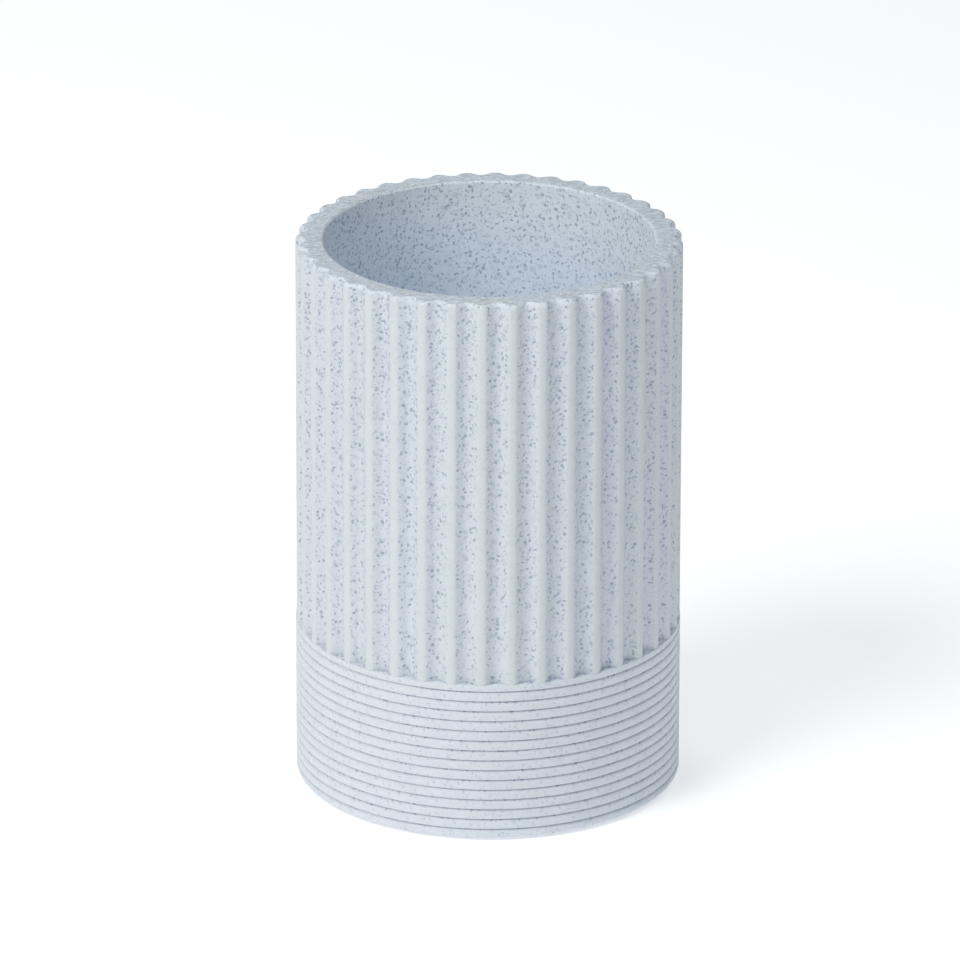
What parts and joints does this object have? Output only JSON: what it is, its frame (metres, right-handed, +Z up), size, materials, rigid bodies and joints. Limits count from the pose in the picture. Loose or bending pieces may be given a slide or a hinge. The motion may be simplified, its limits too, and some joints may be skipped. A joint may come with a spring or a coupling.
{
  "type": "bathroom tumbler",
  "caption": "Round cast resin bathroom tumbler with upright flutes above, a finely ribbed foot, a straight inside and soft pads under the base.",
  "frame": {"origin": "centre of the footprint, on the plane of the pads' undersides", "axes": "+Z up along the cup's axis; -Y is the side towards the picture's camera, one flute crest on it"},
  "size_m": [0.075, 0.075, 0.1105],
  "materials": {
    "speckled_resin": "satin cast resin, pale blue white with fine blue-grey flakes",
    "foot_pad": "matt translucent soft pad"
  },
  "bodies": {
    "root": {"tumbler_body": "speckled_resin", "foot_pad_1": "foot_pad", "foot_pad_2": "foot_pad", "foot_pad_3": "foot_pad", "foot_pad_4": "foot_pad"}
  },
  "joints": []
}
